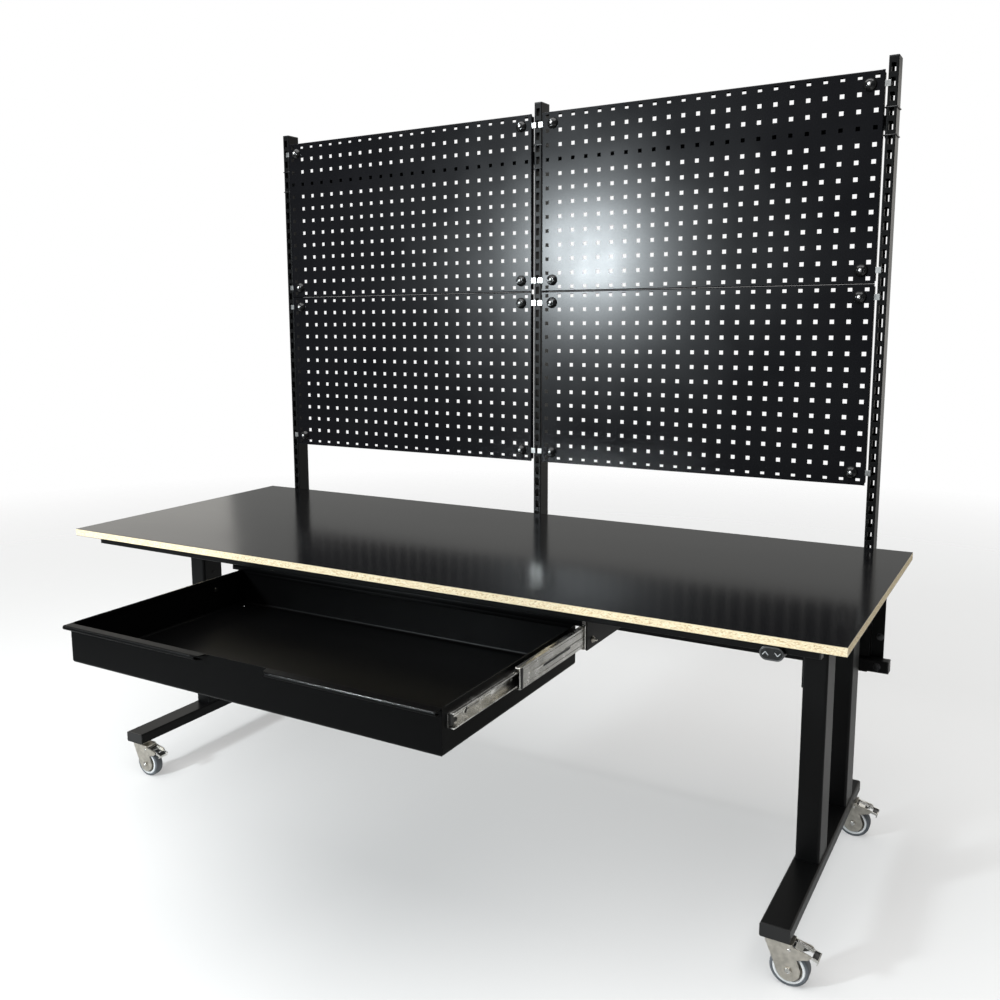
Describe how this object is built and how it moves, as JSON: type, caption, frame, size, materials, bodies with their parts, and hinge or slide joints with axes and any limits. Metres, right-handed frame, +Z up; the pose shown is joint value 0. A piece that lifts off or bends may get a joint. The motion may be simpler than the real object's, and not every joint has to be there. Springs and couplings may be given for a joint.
{
  "type": "assembly table",
  "caption": "Height-adjustable assembly table with a wide pull-out drawer under the top, perforated back panels on uprights and locking castors.",
  "frame": {"origin": "on the floor, under the middle of the whole table's box as it stands, with the drawer pulled out", "axes": "+X to the right along the worktop's length, +Y to the back where the perforated panels stand, +Z up"},
  "size_m": [2, 1.339, 1.855],
  "materials": {
    "powder_coat": "satin",
    "panel_coat": "satin",
    "black_plastic": "satin",
    "black_zinc": "satin",
    "zinc": "satin",
    "bright_zinc": "bright",
    "ground_steel": "bright",
    "motor_case": "satin",
    "nut_brass": "satin",
    "glide_nylon": "satin",
    "rim_plastic": "satin",
    "tyre_rubber": "matte",
    "chipboard": "raw",
    "laminate": "satin"
  },
  "bodies": {
    "base": {"left_foot": "powder_coat", "right_foot": "powder_coat", "foot_caps": "black_plastic", "outer_columns": "powder_coat", "column_glides": "glide_nylon", "nut_posts": "zinc", "spindle_nuts": "nut_brass", "castor_heads": "zinc"},
    "top": {"inner_columns": "powder_coat", "column_heads": "powder_coat", "lift_motors": "motor_case", "side_beams": "powder_coat", "front_rail": "powder_coat", "rear_rail": "powder_coat", "worktop_board": "chipboard", "worktop_laminate": "laminate", "control_box": "black_plastic", "switch_housing": "black_plastic", "uprights": "powder_coat", "upright_brackets": "powder_coat", "lower_crossbar": "powder_coat", "upper_crossbar": "powder_coat", "bar_caps": "black_plastic", "clamp_bolts": "black_zinc", "clamp_plates": "powder_coat", "upper_left_panel": "panel_coat", "upper_right_panel": "panel_coat", "lower_left_panel": "panel_coat", "lower_right_panel": "panel_coat", "panel_clips": "bright_zinc", "panel_knobs": "black_plastic", "slide_hangers": "powder_coat", "outer_members": "bright_zinc"},
    "drawer": {"drawer_tray": "powder_coat", "inner_members": "bright_zinc"},
    "slide_middle": {"middle_members": "bright_zinc"},
    "outer_cage": {"outer_cages": "zinc"},
    "inner_cage": {"inner_cages": "zinc"},
    "up_button": {"up_button": "black_plastic"},
    "down_button": {"down_button": "black_plastic"},
    "castor_front_left": {"front_left_fork": "zinc"},
    "wheel_front_left": {"front_left_wheel": "rim_plastic", "front_left_tyre": "tyre_rubber"},
    "pedal_front_left": {"front_left_pedal": "zinc"},
    "castor_front_right": {"front_right_fork": "zinc"},
    "wheel_front_right": {"front_right_wheel": "rim_plastic", "front_right_tyre": "tyre_rubber"},
    "pedal_front_right": {"front_right_pedal": "zinc"},
    "castor_rear_left": {"rear_left_fork": "zinc"},
    "wheel_rear_left": {"rear_left_wheel": "rim_plastic", "rear_left_tyre": "tyre_rubber"},
    "pedal_rear_left": {"rear_left_pedal": "zinc"},
    "castor_rear_right": {"rear_right_fork": "zinc"},
    "wheel_rear_right": {"rear_right_wheel": "rim_plastic", "rear_right_tyre": "tyre_rubber"},
    "pedal_rear_right": {"rear_right_pedal": "zinc"},
    "spindle_front_left": {"front_left_spindle": "ground_steel"},
    "spindle_front_right": {"front_right_spindle": "ground_steel"},
    "spindle_rear_left": {"rear_left_spindle": "ground_steel"},
    "spindle_rear_right": {"rear_right_spindle": "ground_steel"}
  },
  "joints": [
    {"name": "lift", "type": "slide", "parent": "base", "child": "top", "axis": [0, 0, 1], "range_m": [0, 0.35]},
    {"name": "drawer_slide", "type": "slide", "parent": "top", "child": "drawer", "axis": [0, 1, 0], "range_m": [0, 0.5]},
    {"name": "middle_slide", "type": "slide", "parent": "top", "child": "slide_middle", "axis": [0, 1, 0], "range_m": [0, 0.276]},
    {"name": "outer_cage_roll", "type": "slide", "parent": "top", "child": "outer_cage", "axis": [0, 1, 0], "range_m": [0, 0.138]},
    {"name": "inner_cage_roll", "type": "slide", "parent": "top", "child": "inner_cage", "axis": [0, 1, 0], "range_m": [0, 0.388]},
    {"name": "up_press", "type": "slide", "parent": "top", "child": "up_button", "axis": [0, 1, 0], "range_m": [0, 0.001], "stiffness_N_per_m": 300, "springref_m": -0.003},
    {"name": "down_press", "type": "slide", "parent": "top", "child": "down_button", "axis": [0, 1, 0], "range_m": [0, 0.001], "stiffness_N_per_m": 300, "springref_m": -0.003},
    {"name": "front_left_swivel", "type": "hinge", "parent": "base", "child": "castor_front_left", "pos_m": [-0.885, -0.1015, 0.0893], "axis": [0, 0, 1], "continuous": true},
    {"name": "front_left_roll", "type": "hinge", "parent": "castor_front_left", "child": "wheel_front_left", "pos_m": [-0.8607, -0.1015, 0.0375], "axis": [0, 1, 0], "continuous": true},
    {"name": "front_left_brake", "type": "hinge", "parent": "castor_front_left", "child": "pedal_front_left", "pos_m": [-0.8597, -0.1015, 0.0796], "axis": [0, 1, 0], "range_deg": [0, 15]},
    {"name": "front_right_swivel", "type": "hinge", "parent": "base", "child": "castor_front_right", "pos_m": [0.885, -0.1015, 0.0893], "axis": [0, 0, 1], "continuous": true},
    {"name": "front_right_roll", "type": "hinge", "parent": "castor_front_right", "child": "wheel_front_right", "pos_m": [0.9093, -0.1015, 0.0375], "axis": [0, 1, 0], "continuous": true},
    {"name": "front_right_brake", "type": "hinge", "parent": "castor_front_right", "child": "pedal_front_right", "pos_m": [0.9103, -0.1015, 0.0796], "axis": [0, 1, 0], "range_deg": [0, 15]},
    {"name": "rear_left_swivel", "type": "hinge", "parent": "base", "child": "castor_rear_left", "pos_m": [-0.885, 0.5545, 0.0893], "axis": [0, 0, 1], "continuous": true},
    {"name": "rear_left_roll", "type": "hinge", "parent": "castor_rear_left", "child": "wheel_rear_left", "pos_m": [-0.8607, 0.5545, 0.0375], "axis": [0, 1, 0], "continuous": true},
    {"name": "rear_left_brake", "type": "hinge", "parent": "castor_rear_left", "child": "pedal_rear_left", "pos_m": [-0.8597, 0.5545, 0.0796], "axis": [0, 1, 0], "range_deg": [0, 15]},
    {"name": "rear_right_swivel", "type": "hinge", "parent": "base", "child": "castor_rear_right", "pos_m": [0.885, 0.5545, 0.0893], "axis": [0, 0, 1], "continuous": true},
    {"name": "rear_right_roll", "type": "hinge", "parent": "castor_rear_right", "child": "wheel_rear_right", "pos_m": [0.9093, 0.5545, 0.0375], "axis": [0, 1, 0], "continuous": true},
    {"name": "rear_right_brake", "type": "hinge", "parent": "castor_rear_right", "child": "pedal_rear_right", "pos_m": [0.9103, 0.5545, 0.0796], "axis": [0, 1, 0], "range_deg": [0, 15]},
    {"name": "front_left_screw", "type": "hinge", "parent": "top", "child": "spindle_front_left", "pos_m": [-0.885, 0.1725, 0.4], "axis": [0, 0, 1], "range_deg": [0, 15750]},
    {"name": "front_right_screw", "type": "hinge", "parent": "top", "child": "spindle_front_right", "pos_m": [0.885, 0.1725, 0.4], "axis": [0, 0, 1], "range_deg": [0, 15750]},
    {"name": "rear_left_screw", "type": "hinge", "parent": "top", "child": "spindle_rear_left", "pos_m": [-0.885, 0.4625, 0.4], "axis": [0, 0, 1], "range_deg": [0, 15750]},
    {"name": "rear_right_screw", "type": "hinge", "parent": "top", "child": "spindle_rear_right", "pos_m": [0.885, 0.4625, 0.4], "axis": [0, 0, 1], "range_deg": [0, 15750]}
  ],
  "couplings": [
    {"joint": "middle_slide", "follows": "drawer_slide", "ratio": 0.552},
    {"joint": "outer_cage_roll", "follows": "drawer_slide", "ratio": 0.276},
    {"joint": "inner_cage_roll", "follows": "drawer_slide", "ratio": 0.776},
    {"joint": "front_left_screw", "follows": "lift", "rad_per_m": 785.4},
    {"joint": "front_right_screw", "follows": "lift", "rad_per_m": 785.4},
    {"joint": "rear_left_screw", "follows": "lift", "rad_per_m": 785.4},
    {"joint": "rear_right_screw", "follows": "lift", "rad_per_m": 785.4}
  ]
}
